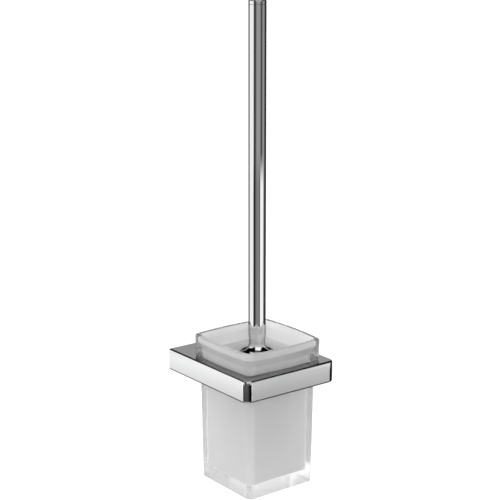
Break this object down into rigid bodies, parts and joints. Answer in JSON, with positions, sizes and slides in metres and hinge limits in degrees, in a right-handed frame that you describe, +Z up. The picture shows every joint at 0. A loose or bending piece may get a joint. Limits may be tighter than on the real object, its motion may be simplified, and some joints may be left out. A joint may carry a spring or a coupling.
{
  "type": "toilet brush holder",
  "caption": "Wall-hung toilet brush holder: chrome square frame, satin glass beaker with a bowed collar, and a brush with a tall chrome tube handle.",
  "frame": {"origin": "midway between the wall plate's two screw holes, on the wall plane, at half the frame's height", "axes": "+Z up along the handle; +Y into the wall; +X to the right of a person who faces the wall"},
  "size_m": [0.1, 0.1175, 0.4341],
  "materials": {
    "chrome": "polished",
    "satin_glass": "satin",
    "clear_cushion": "translucent",
    "bracket_steel": "zinc plated",
    "screw_steel": "stainless",
    "insert_brass": "turned",
    "seal_rubber": "matt",
    "head_plastic": "moulded",
    "bristle": "nylon filament"
  },
  "bodies": {
    "wall": {"wall_plate": "bracket_steel", "frame": "chrome", "glass_gasket": "clear_cushion"},
    "screw_left": {"grub_screw_left": "screw_steel"},
    "screw_right": {"grub_screw_right": "screw_steel"},
    "beaker": {"glass_beaker": "satin_glass"},
    "brush_head": {"head_core": "head_plastic", "thread_insert": "insert_brass", "bristle_row_1": "bristle", "bristle_row_2": "bristle", "bristle_row_3": "bristle", "bristle_row_4": "bristle", "bristle_row_5": "bristle", "bristle_row_6": "bristle", "bristle_row_7": "bristle", "bristle_row_8": "bristle", "bristle_end": "bristle"},
    "seal": {"seal_washer": "seal_rubber"},
    "handle": {"handle_tube": "chrome", "handle_cap": "chrome", "tube_plug": "insert_brass", "bell": "chrome", "stud": "screw_steel"}
  },
  "joints": [
    {"name": "beaker_lift", "type": "slide", "parent": "wall", "child": "beaker", "axis": [0, 0, 1], "range_m": [0, 0.13]},
    {"name": "brush_lift", "type": "slide", "parent": "beaker", "child": "brush_head", "axis": [0, 0, 1], "range_m": [0, 0.14]},
    {"name": "handle_rise", "type": "slide", "parent": "brush_head", "child": "seal", "axis": [0, 0, 1], "range_m": [0, 0.01126]},
    {"name": "handle_turn", "type": "hinge", "parent": "seal", "child": "handle", "pos_m": [0, -0.0675, 0], "axis": [0, 0, 1], "range_deg": [0, 3240]},
    {"name": "screw_left_turn", "type": "hinge", "parent": "wall", "child": "screw_left", "pos_m": [-0.013, -0.0075, 0], "axis": [0, 0, -1], "range_deg": [0, 1440]},
    {"name": "screw_right_turn", "type": "hinge", "parent": "wall", "child": "screw_right", "pos_m": [0.013, -0.0075, 0], "axis": [0, 0, -1], "range_deg": [0, 1440]}
  ],
  "couplings": [
    {"joint": "handle_rise", "follows": "handle_turn", "m_per_rad": 0.00019894}
  ]
}
